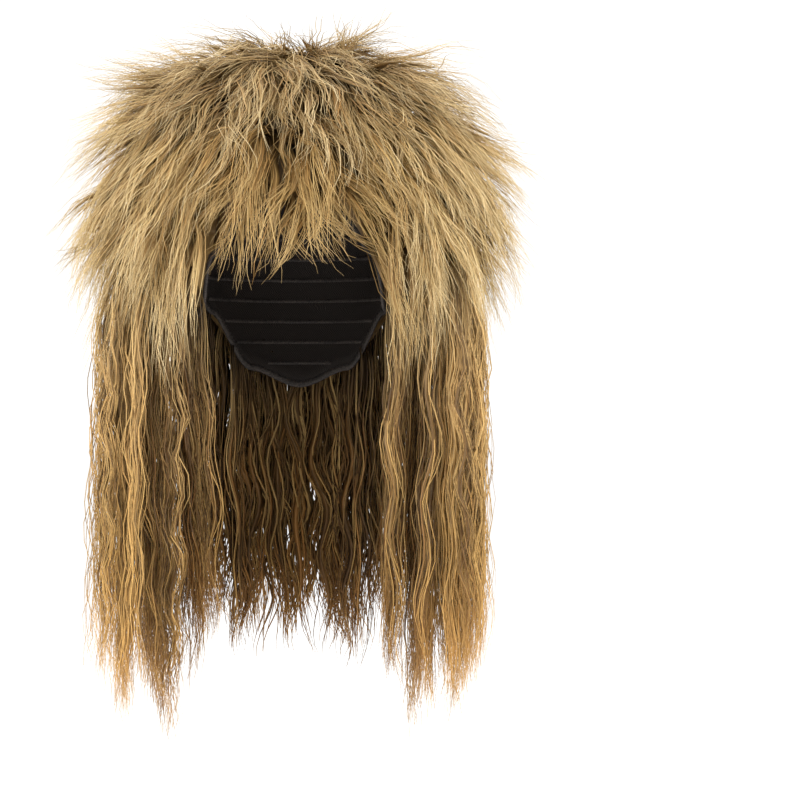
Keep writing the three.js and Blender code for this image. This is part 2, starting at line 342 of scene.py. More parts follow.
# Weft tracks and edge band: narrow black tapes sewn round the inside of the cap, one behind each row of hair.
# A wider elastic tape is folded over the cap's edge. All are held by slanting stitches of black thread.
TRACK_POLARS = (16, 28, 40, 50, 60, 70, 80, 90, 100, 110, 120, 130)
TRACK_EDGE_GAP = 4  # degrees that a track keeps from the cap's edge
TRACK_SHORTEST = 24  # degrees round the cap
TRACK_STEP = 2  # degrees round the cap, within which a track's end is found
TRACK_POINTS = 60
TRACK_SUNK = 0.0002  # from the cap's inner face to the middle of the tape
TRACK = {
    "Tape Width": 0.0032, "Tape Thickness": 0.0009,
    "Stitch Spacing": 0.0042, "Stitch Length": 0.0036,
}
BAND = {
    "Tape Width": 0.0060, "Tape Thickness": 0.0030,
    "Stitch Spacing": 0.0034, "Stitch Length": 0.0050,
}
BAND_POINTS = 180
TAPE_SIDES = 6
STITCH_RADIUS = 0.00028
STITCH_SIDES = 4
STITCH_SLANT = 32  # degrees
TAPE_BLACK = (27, 23, 21)
THREAD_GREY = (70, 62, 56)
TAPE_RAISED = (0.4, 0.65)
TAPE_ROUGH = 0.6
TAPE_WORN = 0.3  # share of the wear in what lightens and dulls the tape


def new_tree(name, inputs):
    """An empty Geometry Nodes tree with named inputs. Gives its nodes and the inputs by name."""
    tree = bpy.data.node_groups.new(name, "GeometryNodeTree")
    tree.is_modifier = True
    for label, kind in {"Guides": "Geometry", **inputs}.items():
        tree.interface.new_socket(name=label, in_out="INPUT", socket_type="NodeSocket" + kind)
    tree.interface.new_socket(name="Geometry", in_out="OUTPUT", socket_type="NodeSocketGeometry")
    nodes = Nodes(tree)
    start = nodes.add("NodeGroupInput")
    return nodes, {label: start.output(label) for label in ("Guides", *inputs)}


def end_tree(nodes, geometry, material):
    """Closes a tree: instances made real, the finish set, and the result out."""
    geometry = nodes.add("GeometryNodeSetShadeSmooth", None, {"Geometry": geometry})
    geometry = nodes.add("GeometryNodeRealizeInstances", None, {"Geometry": geometry})
    geometry = nodes.add("GeometryNodeSetMaterial", None, {"Geometry": geometry, "Material": material})
    nodes.add("NodeGroupOutput", None, {"Geometry": geometry})
    return nodes.tree


def grown(name, guides, tree, sizes, keep_maps=()):
    """A piece grown by a tree on a mesh of guide lines, as a plain mesh with only the maps named."""
    piece = placed(name, guides)
    modifier = piece.modifiers.new("growth", "NODES")
    modifier.node_group = tree
    for item in tree.interface.items_tree:
        if item.in_out == "INPUT" and item.name in sizes:
            modifier[item.identifier] = sizes[item.name]
    mesh = bpy.data.meshes.new_from_object(piece.evaluated_get(bpy.context.evaluated_depsgraph_get()))
    piece.modifiers.remove(modifier)
    piece.data = mesh
    spare = {value.name for value in mesh.attributes if not (value.is_internal or value.is_required)}
    for label in spare - {"sharp_face", "material_index", *keep_maps}:
        mesh.attributes.remove(mesh.attributes[label])
    return piece


def line_edges(lines, closed=False):
    """The edges along loose lines of equal length, numbered line by line."""
    index = np.arange(lines.shape[0] * lines.shape[1]).reshape(lines.shape[:2])
    edges = np.stack([index[:, :-1], index[:, 1:]], -1).reshape(-1, 2)
    if closed:
        edges = np.concatenate([edges, np.stack([index[:, -1], index[:, 0]], -1)])
    return edges.tolist()


def set_values(mesh, values):
    """Gives named numbers or vectors to a mesh's first points, and zeros to the rest."""
    for label, value in values.items():
        is_vector = value.ndim == 3
        rows = value.reshape(-1, 3 if is_vector else 1)
        flat = np.zeros((len(mesh.vertices), rows.shape[1]), np.float32)
        flat[: len(rows)] = rows
        attribute = mesh.attributes.new(label, "FLOAT_VECTOR" if is_vector else "FLOAT", "POINT")
        attribute.data.foreach_set("vector" if is_vector else "value", flat.ravel())


def flat_ring(nodes, sides, thick, broad):
    """An outline to sweep along a line: a flattened ring of a few sides."""
    sockets = {"Resolution": sides, "Radius": 1.0}
    ring = nodes.add("GeometryNodeCurvePrimitiveCircle", {"mode": "RADIUS"}, sockets)
    scale = nodes.vector(thick, broad, 1.0)
    return nodes.add("GeometryNodeTransform", None, {"Geometry": ring, "Scale": scale})


def facing(nodes, lines, normal):
    """Lines with the way that the broad side of an outline swept along them looks."""
    return nodes.add("GeometryNodeSetCurveNormal", {"mode": "FREE"}, {"Curve": lines, "Normal": normal})


def swept(nodes, lines, ring, scale):
    """A closed bar along each line."""
    sockets = {"Curve": lines, "Profile Curve": ring, "Scale": scale, "Fill Caps": True}
    return nodes.add("GeometryNodeCurveToMesh", None, sockets)


def tape_tree():
    """Tape along each guide, with slanting stitches across it."""
    nodes, given = new_tree("sewn_tape", {**dict.fromkeys(TRACK, "Float"), "Finish": "Material"})
    out = nodes.add("GeometryNodeInputNamedAttribute", {"data_type": "FLOAT_VECTOR"}, {"Name": "out"})
    lines = facing(nodes, nodes.add("GeometryNodeMeshToCurve", None, {"Mesh": given["Guides"]}), out)
    half_thick = given["Tape Thickness"] / 2
    tape = swept(nodes, lines, flat_ring(nodes, TAPE_SIDES, half_thick, given["Tape Width"] / 2), 1.0)
    sockets = {"Curve": lines, "Length": given["Stitch Spacing"]}
    places = nodes.add("GeometryNodeCurveToPoints", {"mode": "LENGTH"}, sockets)
    sockets = {"Vertices": STITCH_SIDES, "Radius": STITCH_RADIUS, "Depth": given["Stitch Length"]}
    stitch = nodes.add("GeometryNodeMeshCylinder", {"fill_type": "NGON"}, sockets)
    turn = (math.radians(90 + STITCH_SLANT), 0.0, 0.0)
    inward = nodes.vector(half_thick * -1, 0.0, 0.0)
    sockets = {"Geometry": stitch, "Rotation": turn, "Translation": inward}
    stitch = nodes.add("GeometryNodeTransform", None, sockets)
    sockets = {"Points": places, "Instance": stitch, "Rotation": places.output("Rotation")}
    stitches = nodes.add("GeometryNodeInstanceOnPoints", None, sockets)
    both = nodes.add("GeometryNodeJoinGeometry", None, {"Geometry": [tape, stitches]})
    return end_tree(nodes, both, given["Finish"])


def tape_finish():
    """Black woven tape: a fine grain of threads, lighter where raised."""
    material, nodes, shader = finish_start("cap_tape")
    place = nodes.add("ShaderNodeTexCoord").output("Object")
    weave = nodes.noise(place, scale=1400.0, detail=1.0)
    worn = nodes.noise(place, scale=60.0, detail=3.0)
    raised = nodes.eased(weave * (1 - TAPE_WORN) + worn * TAPE_WORN, *TAPE_RAISED)
    bump = nodes.add("ShaderNodeBump", None, {"Strength": 0.4, "Distance": 0.0003, "Height": weave})
    nodes.feed(
        shader,
        {
            "Base Color": nodes.blend(raised, linear(TAPE_BLACK), linear(THREAD_GREY)),
            "Roughness": TAPE_ROUGH + worn * TAPE_WORN,
            "Normal": bump,
        },
    )
    return material


def track_lines():
    """Lines along each track's level, on the stretches where the cap reaches lower."""
    arcs = []
    # One and a half turns, so that a stretch across the front is found whole.
    azimuth = np.arange(0.0, 540 + TRACK_STEP, TRACK_STEP)
    for polar in TRACK_POLARS:
        on_cap = edge_polar(azimuth) > polar + TRACK_EDGE_GAP
        if on_cap.all():
            arcs.append((0, 360 - TRACK_STEP, polar))
            continue
        steps = np.flatnonzero(np.diff(on_cap.astype(int)))
        for start, end in zip(steps[:-1], steps[1:]):
            long_enough = azimuth[end] - azimuth[start] > TRACK_SHORTEST
            if on_cap[start + 1] and azimuth[start] < 360 and long_enough:
                arcs.append((azimuth[start + 1], azimuth[end], polar))
    sunk = np.full(TRACK_POINTS, -TRACK_SUNK)
    return np.stack(
        [head_point(np.linspace(start, end, TRACK_POINTS), polar, sunk) for start, end, polar in arcs]
    )


def tape_piece(name, lines, sizes, closed=False):
    """Tape sewn along lines on the cap."""
    guides = bpy.data.meshes.new(name)
    guides.from_pydata(lines.reshape(-1, 3).tolist(), line_edges(lines, closed), [])
    set_values(guides, {"out": head_normal(lines)})
    piece = grown(name, guides, sewn_tape, {**sizes, "Finish": cap_tape})
    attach(piece, "root")


sewn_tape = tape_tree()
cap_tape = tape_finish()
tape_piece("weft_tracks", track_lines(), TRACK)
band_round = np.linspace(-180, 180, BAND_POINTS, endpoint=False)
band_line = head_point(band_round, edge_polar(band_round), np.full(BAND_POINTS, CAP_WALL / 2))
tape_piece("edge_band", band_line[None], BAND, closed=True)


# Long locks: the lowest weft rows, which hang far down at both sides and a little less far at the back.
# Crimped synthetic fibre, brown at the roots and honey to gold at the ends.
# They are sewn to the cap as wefts, over a layer of matted roots.
MM = 0.001
# Where the groups of locks meet: degrees round from the front, and degrees down from the crown.
FRONT_SIDE = 51
BACK_SIDE = 129
CROWN_END = 36
WING_END = 73
SHAG_END = 81
FRONT = (-FRONT_SIDE, FRONT_SIDE)
LEFT = (FRONT_SIDE, BACK_SIDE)
RIGHT = (-BACK_SIDE, -FRONT_SIDE)
BACK = (BACK_SIDE, 360 - BACK_SIDE)
# Teased roots: degrees down from the crown, then their depth off the cap in mm, in front and round the rest.
TEASED_ROOTS = (
    (0, 56, 56), (20, 58, 62), (40, 42, 74), (60, 22, 72),
    (80, 12, 58), (100, 8, 36), (120, 8, 20), (141, 8, 8),
)
FRONT_FADE = (12, 80)  # degrees round from the front over which one depth gives way to the other
EDGE_THINNING = 12  # degrees above the cap's edge over which the teasing runs out
CLEARANCE = 0.003  # from the cap to the locks that lie on it
NECK_LEAST = 0.5  # share of the full width and depth that is kept clear below the cap
# Matted roots: the layer between the cap and the locks.
PATCH_STEP = 4  # degrees round the cap for each face
PATCH_DOWN = 12  # faces from top to bottom
PATCH_GAP = 0.0001  # from the cap's outer face
PATCH_LEAST = 0.0004  # from there to where they are thinnest
PATCH_EDGE_GAP = 1  # degrees that the matted roots keep from the cap's edge
TEMPLE_ROUND = 20  # degrees to both sides of where front and side meet, where the matted roots run out
TEMPLE_DOWN = (36, 54)  # degrees down over which they do
# Lumps in them: the share of their depth, then ripples round and down of two waves that cross.
LUMPS = ((0.07, 11, 3, 2, 9), (0.05, 29, 7, 5, 37))
ROOT_MAP_START = (0.02, 0.12)  # the part of the fibres' map that colours them: shade, and place along
ROOT_MAP_SPAN = (0.20, 0.12)
# A row of hair: where it starts and ends round the cap, and its top and bottom, in degrees. Its number of
# locks, and how deep in the teased roots they start. Then a lock's length in mm, its lift off the cap in
# degrees, how far it turns to hang and by what share of its length, its lean forward and inward, its width
# and depth in mm, its shade from dark to pale, and the share of the teased roots that it lies on.
LOCK_COLUMNS = (
    "start", "end", "top", "bottom", "locks", "sunk", "length", "lift", "fall", "bend_by",
    "forward", "inward", "width", "depth", "shade", "rest",
)
# From the outer row in, each row is darker: partly a darker under-layer, partly painted shade of the hollow
# inside the curtains.
SIDE_LONG_ROWS = (
    (64, 130, 73, 80, 27, 0.72, 366, 28, 1, 0.30, 0.15, 0.00, 10, 6, 0.64, 0.58),
    (62, 130, 75, 84, 31, 0.58, 386, 26, 1, 0.30, 0.17, 0.01, 10, 6, 0.56, 0.50),
    (58, 126, 80, 92, 24, 0.40, 368, 18, 1, 0.30, 0.15, 0.03, 10, 6, 0.42, 0.36),
    (62, 120, 88, 98, 17, 0.15, 304, 8, 1, 0.30, 0.06, 0.06, 10, 6, 0.22, 0.16),
)
LEFT_FULLER = {"length": 1.035, "rest": 1.32}  # the left side hangs longer and stands off further
# From the outer row in, each row is darker: partly a darker under-layer, partly painted shade of the hollow
# inside the back hair.
BACK_LONG_ROWS = (
    (126, 234, 81, 92, 42, 0.55, 300, 18, 1, 0.30, 0.00, 0.00, 20, 7, 0.46, 0.50),
    (126, 234, 90, 106, 26, 0.35, 285, 14, 1, 0.30, 0.00, 0.00, 22, 7, 0.28, 0.35),
    (132, 228, 104, 124, 26, 0.15, 262, 8, 1, 0.30, 0.00, 0.00, 17, 7, 0.06, 0.15),
)
LONG_STEPS = 25
# How much locks differ. Lift is in degrees, and curl in mm at the tip. Gather is how far the tips of a bundle
# draw together, and trim how much shorter a bundle may be than the next.
LONG_VARY = {
    "azimuth": 0.9, "lift": 14, "fall": 0.0, "length": 0.03, "sweep": 0.4, "curl": 14, "wander": 0.22,
    "width": 0.5, "shade": 0.30, "gather": 0.68, "trim": 0.12,
}
BACK_LONG_VARY = {**LONG_VARY, "gather": 0.35, "trim": 0.08}
BUNDLE = 6  # neighbouring locks that draw together at their tips
GATHER_POWER = 3  # the higher, the nearer to the tips they do
FORWARD_FADE = (75, 130)  # degrees round from the front over which the forward lean is lost
INWARD_FULL = 0.04  # from the middle plane to where a lock has its whole lean in or out
BEND_LENGTHS = (0.10, 0.22)  # over which a lock wanders to and fro
WANDER_SHARE = (0.3, 1)
WANDER_PHASE = 3  # keeps the wander out of step with the crimp
CRIMP_SHARE = (0.4, 1.2)  # of the wave height
CRIMP_PACE = (0.9, 1.7)  # of the wave length
# Each lock's core is darkened below its fibres' tone, as painted shade between the fibres.
LONG = {
    "Fibres": 9, "Fibre Radius": 0.00070, "Fibre Flatness": 0.45, "Wrap": math.pi,
    "Root Width": 0.6, "Taper": 6.0, "Stray": 0.012, "Shortest": 0.91,
    "Frizz": 0.009, "Frizz Turns": 5.0, "Frizz Detail": 0.0, "Wave Height": 0.0046, "Wave Length": 0.054,
    "Core Length": 0.88, "Core Width": 0.40, "Core Flatness": 0.4, "Core Shade": -0.4,
}
BACK_LONG = {**LONG, "Fibres": 8, "Fibre Radius": 0.00084, "Core Width": 0.28}
# How the fibres of a lock differ, from least to most.
FIBRE_REACH = (0.15, 1.25)  # from the lock's middle, as a share of its half width or depth
FIBRE_OUT = (-0.35, 1.0)  # stray out from the cap, which is cubed so that few go far
FIBRE_THICKNESS = (0.5, 1.3)
FIBRE_TONE = 0.22
WAVE_LATE = 0.7  # radians
WAVE_SHARE = (0.4, 1.5)
# Shares of the length by which a lock reaches its whole width, waves and frizz.
SWELL_BY = 0.30
WAVE_BY = 0.35
FRIZZ_BY = 0.40
FRIZZ_PLACES = 900.0  # span of noise from which each fibre takes its own
WAVE_DEPTH = 0.6  # of the waves out from the cap, against those to the side
FIBRE_SIDES = 3
TIP_THINNING = 0.8
# The fibres' map: its margin at both ends, then how broad a fibre and a core lie in it.
MAP_MARGIN = 0.01
FIBRE_MAP = (0.006, 0.003)
CORE_MAP = (0.2, 0.003)
# Colours along the fibre, root to tip, of the darkest and the palest locks.
LONG_DARK = ((0.0, (34, 23, 12)), (0.2, (88, 64, 33)), (0.7, (72, 50, 23)), (1.0, (130, 91, 43)))
LONG_PALE = ((0.0, (70, 50, 26)), (0.18, (218, 182, 120)), (0.7, (198, 157, 90)), (1.0, (226, 178, 104)))
STREAKS = (60, 3)  # across the shades and along the fibre
STREAK_EDGE = (0.28, 0.72)
STREAK_CONTRAST = 0.7
WARM_GOLD = (188, 132, 66)
WARM_PLACES = (40, 2, 4.0)  # the same two, and their own layer of noise
WARM_EDGE = (0.45, 0.7)
WARM_ALONG = (0.1, 0.5)  # shares of the length over which the warm tint comes in
WARM_MOST = 0.42
FIBRE_ROUGH = 0.38
STREAK_ROUGH = 0.24


def root_depth(azimuth, polar):
    """How deep the teased roots are."""
    rest = smooth(from_front(azimuth), *FRONT_FADE)
    depth = eased(TEASED_ROOTS, polar, 1) * (1 - rest) + eased(TEASED_ROOTS, polar, 2) * rest
    return MM * depth * smooth(edge_polar(azimuth) - polar, 0, EDGE_THINNING)


def row_locks(rows, vary, seed):
    """Every lock of some rows, spread along its row and varied, as arrays by name, in metres."""
    chance = np.random.default_rng(seed)
    bundle_chance = np.random.default_rng([seed, BUNDLE])

    def either_way():
        return chance.uniform(-1, 1)

    locks = []
    bundles = 0
    for values in rows:
        row = dict(zip(LOCK_COLUMNS, values))
        trims = 1 - vary["trim"] * bundle_chance.uniform(0, 1, row["locks"] // BUNDLE + 1)
        for i in range(row["locks"]):
            shift = vary["azimuth"] * chance.uniform(-0.5, 0.5)
            raised = either_way()
            azimuth = row["start"] + (row["end"] - row["start"]) * (i + 0.5 + shift) / row["locks"]
            lock = {
                **row,
                "azimuth": azimuth,
                "forward": row["forward"] * (1 - smooth(from_front(azimuth), *FORWARD_FADE)),
                "polar": chance.uniform(row["top"], row["bottom"]),
                "lift": row["lift"] + vary["lift"] * raised,
                "fall": row["fall"] * (1 + vary["fall"] * either_way()),
                "length": MM * row["length"] * (1 + vary["length"] * (either_way() - max(0, raised))),
                "bundle": bundles + i // BUNDLE,
                "sweep": vary["sweep"] * either_way(),
                "curl": 2 * vary["curl"] / row["length"] * either_way(),
                "wander": vary["wander"] * chance.uniform(*WANDER_SHARE),
                "bends": MM * row["length"] / chance.uniform(*BEND_LENGTHS),
                "crimp": chance.uniform(*CRIMP_SHARE),
                "pace": chance.uniform(*CRIMP_PACE),
                "gather": vary["gather"],
                "width": MM * row["width"] * (1 + vary["width"] * either_way()),
                "depth": MM * row["depth"],
                "shade": row["shade"] + vary["shade"] * either_way(),
                "phase": chance.uniform(0, 2 * math.pi),
            }
            lock["length"] *= trims[i // BUNDLE]
            locks.append(lock)
        bundles += len(trims)
    return {key: np.array([lock[key] for lock in locks], float) for key in locks[0]}


def rest_on(points, share):
    """Points moved out from the middle of the cap until they lie on a share of the teased roots."""
    middle = points + (0, 0, CROWN_HEIGHT)
    x, y, z = middle.T
    on_dome = z > 0
    height = z / CROWN_HEIGHT
    away = np.hypot(x / (HEAD_WIDTH / 2), y / (HEAD_DEPTH / 2))
    azimuth = np.degrees(np.arctan2(x / HEAD_WIDTH, -y / HEAD_DEPTH))
    polar = np.where(on_dome, np.degrees(np.arctan2(away, height)), 90 - np.degrees(height))
    roots = root_depth(azimuth, np.minimum(polar, TEASED_ROOTS[-1][0]))
    depth = CAP_WALL + CLEARANCE + share * roots
    reach = np.where(on_dome, np.hypot(away, height), away)
    metres = np.where(on_dome, np.linalg.norm(middle, axis=-1), np.hypot(x, y))
    surface = np.where(on_dome, 1, np.maximum(NECK_LEAST, head_share(points[:, 2])))
    least = surface + depth * reach / np.maximum(metres, TINY)
    scale = np.maximum(1, least / np.maximum(reach, TINY))[:, None]
    scale = np.concatenate([scale, scale, np.where(on_dome[:, None], scale, 1)], 1)
    return middle * scale - (0, 0, CROWN_HEIGHT)


def lock_lines(locks, steps):
    """The middle line of each lock, the way its broad face looks and its side: line, point, xyz."""
    azimuth, polar = locks["azimuth"], locks["polar"]
    foot = head_point(azimuth, polar)
    root = head_point(azimuth, polar, CAP_WALL + locks["sunk"] * root_depth(azimuth, polar))
    normal = head_normal(foot)
    downhill = unit(head_point(azimuth, polar + 1) - foot)
    lift = np.radians(locks["lift"])[:, None]
    start = downhill * np.cos(lift) + normal * np.sin(lift)
    start = unit(start + np.cross(downhill, normal) * locks["sweep"][:, None])
    inward = -np.clip(root[:, 0] / INWARD_FULL, -1, 1) * locks["inward"]
    hang = unit(np.stack([inward, -locks["forward"], -np.ones(len(root))], -1))
    wander_start = locks["phase"] * WANDER_PHASE
    point = root
    lines = []
    for i in range(steps + 1):
        turn = locks["fall"] * smooth(i / steps, -locks["bend_by"] / 2, locks["bend_by"])
        heading = unit(start + (hang - start) * turn[:, None])
        face = unit(normal - heading * (normal * heading).sum(-1, keepdims=True))
        bend = locks["wander"] * np.sin(2 * math.pi * locks["bends"] * i / steps + wander_start)
        heading = unit(heading + np.cross(face, heading) * (locks["curl"] * i / steps + bend)[:, None])
        lines.append((point, face, np.cross(face, heading)))
        point = rest_on(point + heading * locks["length"][:, None] / steps, locks["rest"])
    lines, face, side = (np.stack(part, 1) for part in zip(*lines))
    along = np.linspace(0, 1, steps + 1)[:, None] ** GATHER_POWER
    for bundle in np.unique(locks["bundle"]):
        own = locks["bundle"] == bundle
        lines[own] += (lines[own].mean(0) - lines[own]) * along * locks["gather"][own, None, None]
    return lines, face, side


def patch_edge(azimuth):
    """The lower edge of matted roots that reach down to the cap's edge."""
    return edge_polar(azimuth) - PATCH_EDGE_GAP


def teased_patch(start, end, top, bottom, share):
    """The matted roots of one group of locks, as deep as a share of the teasing, and lumpy."""

    def lumpy(azimuth, polar):
        temple = 1 - smooth(np.abs(from_front(azimuth) - FRONT_SIDE), 0, TEMPLE_ROUND)
        lumps = 1
        for size, first_round, first_down, second_round, second_down in LUMPS:
            first = np.sin(np.radians(azimuth * first_round + polar * first_down))
            second = np.sin(np.radians(polar * second_down - azimuth * second_round))
            lumps = lumps + size * (first * second)
        left = (1 - temple * smooth(polar, *TEMPLE_DOWN)) * lumps
        return CAP_WALL + PATCH_LEAST + share * root_depth(azimuth, polar) * left

    across = round((end - start) / PATCH_STEP)
    return wall(start, end, top, bottom, level(CAP_WALL + PATCH_GAP), lumpy, across, PATCH_DOWN)


def lock_mesh(name, locks, steps, patch):
    """Guide lines of a group of locks, with the patch of matted roots beside them."""
    lines, face, side = lock_lines(locks, steps)
    count = lines.shape[0] * lines.shape[1]
    points, faces, places = patch
    mesh = bpy.data.meshes.new(name)
    points = np.concatenate([lines.reshape(-1, 3), points])
    mesh.from_pydata(points.tolist(), line_edges(lines), (faces + count).tolist())
    own = ("width", "depth", "length", "phase", "crimp", "pace", "shade")
    set_values(mesh, {"face": face, "side": side, "lock": np.ones(count)})
    set_values(mesh, {label: np.repeat(locks[label], steps + 1) for label in own})
    root_map = ROOT_MAP_START + places * ROOT_MAP_SPAN
    mesh.uv_layers.new(name="OFBake").data.foreach_set("uv", root_map.astype(np.float32).ravel())
    return merged(mesh)


def fibre_tree():
    """Fibres and a core along each lock, the core darkened as painted shade. The map holds shade across, and
    root to tip along.
    """
    sizes = {size: "Int" if size == "Fibres" else "Float" for size in LONG}
    nodes, given = new_tree("fibres_on_locks", {**sizes, "Seed": "Int", "Finish": "Material"})

    def own(label, kind="FLOAT"):
        return nodes.add("GeometryNodeInputNamedAttribute", {"data_type": kind}, {"Name": label})

    def each(low, high, use):
        """A random value for each fibre, with a number of its own for each use."""
        sockets = {"Min": low, "Max": high, "Seed": given["Seed"] + use}
        chance = nodes.add("FunctionNodeRandomValue", {"data_type": "FLOAT"}, sockets)
        by_line = {"domain": "CURVE", "data_type": "FLOAT"}
        return nodes.add("GeometryNodeFieldOnDomain", by_line, {"Value": chance})

    def store(geometry, label, value, kind="FLOAT", domain="POINT"):
        return nodes.add(
            "GeometryNodeStoreNamedAttribute", {"data_type": kind, "domain": domain},
            {"Geometry": geometry, "Name": label, "Value": value},
        )

    def moved(lines, move):
        return nodes.add("GeometryNodeSetPosition", None, {"Geometry": lines, "Offset": move})

    def trimmed(lines, end):
        sockets = {"Curve": lines, "Start": 0.0, "End": end}
        return nodes.add("GeometryNodeTrimCurve", {"mode": "FACTOR"}, sockets)

    def bars(lines, flatness, scale):
        ring = flat_ring(nodes, FIBRE_SIDES, flatness, 1.0)
        ring = store(ring, "round", nodes.add("GeometryNodeSplineParameter"))
        return swept(nodes, facing(nodes, store(lines, "along", along), face), ring, scale)

    def mapped(geometry, across, length):
        return store(geometry, "OFBake", nodes.vector(across, length, 0.0), "FLOAT2", "CORNER")

    along = nodes.add("GeometryNodeSplineParameter")
    side, face = own("side", "FLOAT_VECTOR"), own("face", "FLOAT_VECTOR")
    half, depth, shade = own("width") / 2, own("depth"), own("shade")
    swell = given["Root Width"] + (1 - given["Root Width"]) * nodes.eased(along, 0.0, SWELL_BY)
    swell = swell * (1 - along ** given["Taper"])
    turns = along * own("length") / (given["Wave Length"] * own("pace")) * (2 * math.pi) + own("phase")
    rising = nodes.eased(along, 0.0, WAVE_BY) * given["Wave Height"] * own("crimp")
    fold = (own("round") * 2 - 1).apply("ABSOLUTE")
    map_length = 1 - 2 * MAP_MARGIN

    def waved(late, high):
        turn = turns + late
        out = turn.apply("COSINE") * rising * high * WAVE_DEPTH
        return side * (turn.apply("SINE") * rising * high) + face * out

    def fibres_on(lines):
        angle, reach = math.pi / 2 + given["Wrap"] * each(-1.0, 1.0, 1), each(*FIBRE_REACH, 2)
        away, out = each(-1.0, 1.0, 3), each(*FIBRE_OUT, 4)
        lane = each(0.0, FRIZZ_PLACES, 5), each(0.0, FRIZZ_PLACES, 6)
        noise = nodes.noise(nodes.vector(along * given["Frizz Turns"], *lane), 1.0, given["Frizz Detail"])
        sockets = {0: noise.output("Color"), 1: (0.5, 0.5, 0.5)}
        shake = nodes.add("ShaderNodeVectorMath", {"operation": "SUBTRACT"}, sockets)
        stray = given["Stray"] * along * along
        move = side * (angle.apply("COSINE") * reach * swell * half + away * away * away * stray)
        move = move + face * (angle.apply("SINE") * reach * swell * depth + out * out * out * stray)
        move = move + shake * (given["Frizz"] * nodes.eased(along, 0.0, FRIZZ_BY))
        move = move + waved(each(-WAVE_LATE, WAVE_LATE, 7), each(*WAVE_SHARE, 11))
        sockets = {"Geometry": lines, "Amount": given["Fibres"]}
        fibres = nodes.add("GeometryNodeDuplicateElements", {"domain": "SPLINE"}, sockets)
        fibres = trimmed(moved(fibres, move), each(given["Shortest"], 1.0, 8))
        fibres = store(fibres, "tone", shade + each(-FIBRE_TONE, FIBRE_TONE, 9))
        thick = given["Fibre Radius"] * each(*FIBRE_THICKNESS, 10)
        thick = thick * (1 - TIP_THINNING * along ** given["Taper"])
        return mapped(
            bars(fibres, given["Fibre Flatness"], thick),
            own("tone") + own("round") * FIBRE_MAP[0],
            own("along") * map_length + MAP_MARGIN + fold * FIBRE_MAP[1],
        )

    # A core takes its lock's shade, darkened: painted shade behind the fibres.
    def cores_on(lines):
        cores = trimmed(moved(lines, waved(0.0, 1.0)), given["Core Length"])
        return mapped(
            bars(cores, given["Core Flatness"], half * given["Core Width"] * swell),
            shade + given["Core Shade"] + (fold - 0.5) * CORE_MAP[0],
            own("along") * given["Core Length"] * map_length + MAP_MARGIN + own("round") * CORE_MAP[1],
        )

    sockets = {"Geometry": given["Guides"], "Selection": own("lock")}
    parts = nodes.add("GeometryNodeSeparateGeometry", {"domain": "POINT"}, sockets)
    lines = nodes.add("GeometryNodeMeshToCurve", None, {"Mesh": parts})
    pieces = [fibres_on(lines), cores_on(lines), parts.output("Inverted")]
    return end_tree(nodes, nodes.add("GeometryNodeJoinGeometry", None, {"Geometry": pieces}), given["Finish"])


def fibre_finish(name, dark, pale):
    """Synthetic hair: coloured from root to tip, streaked from fibre to fibre, with a soft plastic gloss."""
    material, nodes, shader = finish_start(name)
    place = nodes.add("ShaderNodeUVMap", {"uv_map": "OFBake"})
    split = nodes.add("ShaderNodeSeparateXYZ", None, {"Vector": place})
    across, along = split.output("X"), split.output("Y")
    fine = nodes.vector(across * STREAKS[0], along * STREAKS[1], 0.0)
    streak = nodes.noise(fine, scale=1.0, detail=2.0, roughness=0.6)
    broad = nodes.vector(across * WARM_PLACES[0], along * WARM_PLACES[1], WARM_PLACES[2])
    drift = nodes.noise(broad, scale=1.0, detail=1.0)
    streaked = across + (nodes.eased(streak, *STREAK_EDGE) - 0.5) * STREAK_CONTRAST
    share = nodes.add("ShaderNodeClamp", None, {"Value": streaked})
    low = nodes.add("ShaderNodeValToRGB", {"stops": dark}, {"Fac": along})
    high = nodes.add("ShaderNodeValToRGB", {"stops": pale}, {"Fac": along})
    warm = nodes.eased(drift, *WARM_EDGE) * nodes.eased(along, *WARM_ALONG) * WARM_MOST
    bump = nodes.add("ShaderNodeBump", None, {"Strength": 0.35, "Distance": 0.0006, "Height": streak})
    nodes.feed(
        shader,
        {
            "Base Color": nodes.blend(warm, nodes.blend(share, low, high), linear(WARM_GOLD)),
            "Roughness": FIBRE_ROUGH + streak * STREAK_ROUGH,
            "Normal": bump,
            "Specular IOR Level": 0.3,
        },
    )
    return material


def mirrored(rows):
    """Rows for the other side of the cap."""
    return tuple((-row[1], -row[0], *row[2:]) for row in rows)


def scaled(rows, shares):
    """Rows with some columns changed by a share."""
    scale = [shares.get(column, 1) for column in LOCK_COLUMNS]
    return tuple(tuple(value * share for value, share in zip(row, scale)) for row in rows)


def hair_piece(node, rows, vary, steps, patch, sizes, finish, seed):
    """One group of locks with its matted roots, in place of its CAD node."""
    guides = lock_mesh(node + "_fibre", row_locks(rows, vary, seed), steps, patch)
    inputs = {**sizes, "Seed": seed, "Finish": finish}
    piece = grown(node + "_fibre", guides, fibres_on_locks, inputs, keep_maps=("OFBake",))
    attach(piece, "root")
    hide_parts(node)


fibres_on_locks = fibre_tree()
long_fibre = fibre_finish("long_fibre", LONG_DARK, LONG_PALE)
hair_piece(
    "back_long_locks", BACK_LONG_ROWS, BACK_LONG_VARY, LONG_STEPS,
    teased_patch(*BACK, SHAG_END, patch_edge, share=0.5),
    BACK_LONG, long_fibre, seed=11,
)
hair_piece(
    "right_long_locks", mirrored(SIDE_LONG_ROWS), LONG_VARY, LONG_STEPS,
    teased_patch(*RIGHT, WING_END, patch_edge, share=0.4),
    LONG, long_fibre, seed=12,
)
hair_piece(
    "left_long_locks", scaled(SIDE_LONG_ROWS, LEFT_FULLER), LONG_VARY, LONG_STEPS,
    teased_patch(*LEFT, WING_END, patch_edge, share=0.4),
    LONG, long_fibre, seed=13,
)


